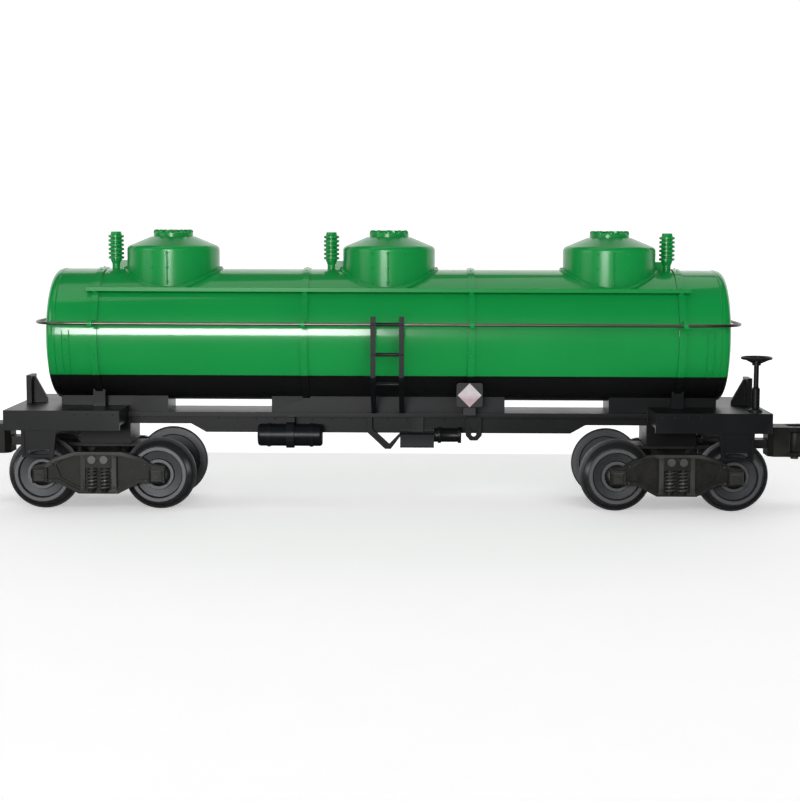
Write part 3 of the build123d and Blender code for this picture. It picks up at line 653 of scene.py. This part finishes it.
class WAGON_OT_journal_lids(WagonPiece):
    """Hinged lids on the journal boxes"""
    bl_idname = "wagon.journal_lids"
    bl_label = "Journal lids"

    def build(self):
        for side in TRUCKS:
            for mark in ("a", "b"):
                low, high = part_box(f"side_frame_{side}_{mark}")
                facing = -1 if (low.y + high.y) < 0 else 1
                face = low.y if facing < 0 else high.y
                mesh = bmesh.new()
                for end in ("inner", "outer"):
                    axle = AXLES[side, end]
                    half, inner = 1.55 * MM, 0.9 * MM
                    hinge_y, hinge_z = face + facing * 0.15 * MM, axle.z + half * 1.05
                    y = sorted((face - facing * 0.2 * MM, face + facing * 0.3 * MM))
                    add_block(mesh, (axle.x - half, y[0], axle.z - half),
                              (axle.x + half, y[1], axle.z + half * 0.9))
                    y = sorted((face, face + facing * 0.55 * MM))
                    add_block(mesh, (axle.x - inner, y[0], axle.z - inner),
                              (axle.x + inner, y[1], axle.z + inner * 0.6))
                    add_tube(mesh, [(axle.x - half, hinge_y, hinge_z),
                                    (axle.x + half, hinge_y, hinge_z)], 0.32 * MM)
                piece(f"journal_lids_{side}_{mark}", mesh, "truck_casting", f"truck_{side}",
                      bevel=0.1 * MM, smooth=False)


class WAGON_OT_side_frame_bolts(WagonPiece):
    """Bolts on the side frames' columns and arch"""
    bl_idname = "wagon.side_frame_bolts"
    bl_label = "Side frame bolts"

    def build(self):
        for side, centre in TRUCKS.items():
            for mark in ("a", "b"):
                low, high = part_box(f"side_frame_{side}_{mark}")
                facing = -1 if (low.y + high.y) < 0 else 1
                rim = facing * 22.2 * MM
                mesh = bmesh.new()
                for dx, z in ((-4.85, 7.6), (4.85, 7.6), (-4.85, 17.4), (4.85, 17.4),
                              (-14.6, 15.0), (14.6, 15.0), (-14.9, 9.9), (14.9, 9.9)):
                    add_nut(mesh, (centre.x + dx * MM, rim, z * MM), (0, facing, 0),
                            0.5 * MM, 0.35 * MM)
                piece(f"side_frame_bolts_{side}_{mark}", mesh, "truck_casting", f"truck_{side}")


class WAGON_OT_placard_diamonds(WagonPiece):
    """A plain raised diamond on each board"""
    bl_idname = "wagon.placard_diamonds"
    bl_label = "Placard diamonds"

    def build(self):
        reach, proud = 3.75 * MM, 0.25 * MM
        for name, facing in (("near", -1), ("far", 1)):
            low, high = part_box(f"placard_{name}")
            face = low.y if facing < 0 else high.y
            x, z = (low.x + high.x) / 2, BOARD_MIDDLE.z
            mesh = bmesh.new()
            corners = [(x + reach * cos(turn * pi / 2), z + reach * sin(turn * pi / 2))
                       for turn in range(4)]
            back = [mesh.verts.new((cx, face - facing * 0.1 * MM, cz)) for cx, cz in corners]
            front = [mesh.verts.new((cx, face + facing * proud, cz)) for cx, cz in corners]
            mesh.faces.new(back)
            mesh.faces.new(front[::-1])
            for step in range(4):
                after = (step + 1) % 4
                mesh.faces.new((back[step], back[after], front[after], front[step]))
            piece(f"placard_diamond_{name}", mesh, "placard_paint", bevel=0.05 * MM, smooth=False)


class WAGON_OT_frame_rivets(WagonPiece):
    """Rivet rows on the platforms' skirts and the sill's web"""
    bl_idname = "wagon.frame_rivets"
    bl_label = "Frame rivets"

    def build(self):
        mesh = bmesh.new()
        head, skirt_y, skirt_z = sizes().rivet * 0.8, extent("frame").y / 2, 30.9 * MM
        pitch, web_y, web_z = 6.0 * MM, 8.0 * MM, 27.9 * MM
        for side in (-1, 1):
            for end in (-1, 1):
                for x in (84.5, 88.5, 92.5, 96.5):
                    add_stud(mesh, (end * x * MM, side * skirt_y, skirt_z), (0, side, 0), head)
            for step in range(-9, 10):
                add_stud(mesh, (step * pitch, side * web_y, web_z), (0, side, 0), head)
        piece("frame_rivets", mesh, "black_plastic")


class WAGON_OT_ladder_clamps(WagonPiece):
    """Clamps that hold the ladders' stiles to the handrail"""
    bl_idname = "wagon.ladder_clamps"
    bl_label = "Ladder clamps"

    def build(self):
        stile_x, rail_y, low_z = 4.4 * MM, 26.0 * MM, 49.8 * MM
        for name, facing in (("near", -1), ("far", 1)):
            mesh = bmesh.new()
            for side in (-1, 1):
                for z in (STANCHION_Z, low_z):
                    add_stud(mesh, (side * stile_x, facing * rail_y, z), (0, facing, 0),
                             0.42 * MM)
            piece(f"ladder_clamps_{name}", mesh, "black_plastic")


# ---- stage ------------------------------------------------------------------------------------
def aim(thing, at):
    direction = Vector(at) - thing.location
    thing.rotation_euler = direction.to_track_quat("-Z", "Y").to_euler()


def softbox(name, place, at, width, height, power):
    light = bpy.data.lights.new(name, "AREA")
    light.shape, light.size, light.size_y, light.energy = "RECTANGLE", width, height, power
    lamp = bpy.data.objects.new(name, light)
    bpy.context.scene.collection.objects.link(lamp)
    lamp.location = place
    aim(lamp, at)
    return lamp


class WAGON_OT_stage(bpy.types.Operator):
    """Pale floor, soft lights and the camera"""
    bl_idname = "wagon.stage"
    bl_label = "Stage"

    def execute(self, context):
        scene = context.scene
        self.build_floor()
        world = bpy.data.worlds.new("pale_room")
        scene.world = world
        world.use_nodes = True
        world.node_tree.nodes["Background"].inputs["Color"].default_value = (1.0, 1.0, 1.0, 1.0)
        world.node_tree.nodes["Background"].inputs["Strength"].default_value = 0.14
        world.cycles_visibility.glossy = False
        fill = softbox("fill_light", (0.30, -1.40, 0.55), (0, 0, 0.05), 1.2, 0.7, 11.5)
        fill.visible_glossy = False
        softbox("top_light", (-0.05, 0.05, 0.75), (0, 0, 0.05), 1.1, 0.35, 1.2)
        strip = softbox("strip_light", (-0.14, -0.72, 0.150), (-0.14, 0, 0.057), 0.23, 0.15, 3.0)
        strip.visible_diffuse = False
        softbox("side_light", (-0.85, -0.45, 0.30), (-0.05, 0, 0.03), 0.5, 0.5, 1.8)
        self.build_camera(scene)
        scene.view_settings.view_transform = "Standard"
        return {"FINISHED"}

    def build_floor(self):
        """A near floor, and behind the wagon a floor that curves up into a backdrop."""
        back, bend, top, seam = 1.6, 0.9, 1.6, 0.12
        curve = [(seam, 0.0), (back - bend, 0.0)]
        turns = [pi / 2 * step / 12 for step in range(1, 13)]
        curve += [(back - bend + bend * sin(turn), bend - bend * cos(turn)) for turn in turns]
        curve.append((back, top))
        floor = self.sheet("floor", [(-3.0, 0.0), (seam, 0.0)], "stage")
        floor.visible_glossy = False
        self.sheet("backdrop", curve, "backdrop")

    def sheet(self, name, line, finish):
        """A wide sheet along a line of (y, z) points."""
        mesh = bmesh.new()
        left = [mesh.verts.new((-4.0, y, z)) for y, z in line]
        right = [mesh.verts.new((4.0, y, z)) for y, z in line]
        for step in range(len(line) - 1):
            mesh.faces.new((left[step], right[step], right[step + 1], left[step + 1]))
        data = bpy.data.meshes.new(name)
        mesh.to_mesh(data)
        mesh.free()
        data.shade_smooth()
        data.materials.append(finish_of(finish))
        made_sheet = bpy.data.objects.new(name, data)
        bpy.context.scene.collection.objects.link(made_sheet)
        return made_sheet

    def build_camera(self, scene):
        lens = bpy.data.cameras.new("camera")
        lens.sensor_width, lens.lens = 36.0, 76.3
        camera = bpy.data.objects.new("camera", lens)
        scene.collection.objects.link(camera)
        camera.location = (0.010, -0.545, 0.0885)
        pitch, yaw, roll = radians(5.80), radians(-0.665), radians(0.2)
        camera.rotation_euler = (pi / 2 - pitch, 0.0, -yaw)
        camera.rotation_euler.rotate_axis("Z", roll)
        lens.clip_start, lens.clip_end = 0.01, 20.0
        scene.camera = camera


# ---- add-on -----------------------------------------------------------------------------------
PIECES = (WAGON_OT_finish_frame, WAGON_OT_tank_rivets, WAGON_OT_tank_seams, WAGON_OT_dome_studs,
          WAGON_OT_hatch_fittings, WAGON_OT_truck_springs, WAGON_OT_journal_lids,
          WAGON_OT_side_frame_bolts, WAGON_OT_placard_diamonds, WAGON_OT_frame_rivets,
          WAGON_OT_ladder_clamps, WAGON_OT_stage)


class WAGON_PT_panel(bpy.types.Panel):
    """Lists the wagon's sizes, colours and piece makers"""
    bl_idname = "WAGON_PT_panel"
    bl_label = "Tank wagon"
    bl_space_type = "VIEW_3D"
    bl_region_type = "UI"
    bl_category = "Wagon"

    def draw(self, context):
        for group in (context.scene.wagon_sizes, context.scene.wagon_colours):
            for name in group.__annotations__:
                self.layout.prop(group, name)
        for maker in PIECES:
            self.layout.operator(maker.bl_idname)


def register():
    for group in (WagonColours, WagonSizes, *PIECES, WAGON_PT_panel):
        bpy.utils.register_class(group)
    bpy.types.Scene.wagon_colours = PointerProperty(type=WagonColours)
    bpy.types.Scene.wagon_sizes = PointerProperty(type=WagonSizes)


def unregister():
    del bpy.types.Scene.wagon_sizes
    del bpy.types.Scene.wagon_colours
    for group in (WAGON_PT_panel, *reversed(PIECES), WagonSizes, WagonColours):
        bpy.utils.unregister_class(group)


def main():
    register()
    for maker in PIECES:
        getattr(bpy.ops.wagon, maker.bl_idname.split(".")[1])()


if __name__ == "__main__":
    main()
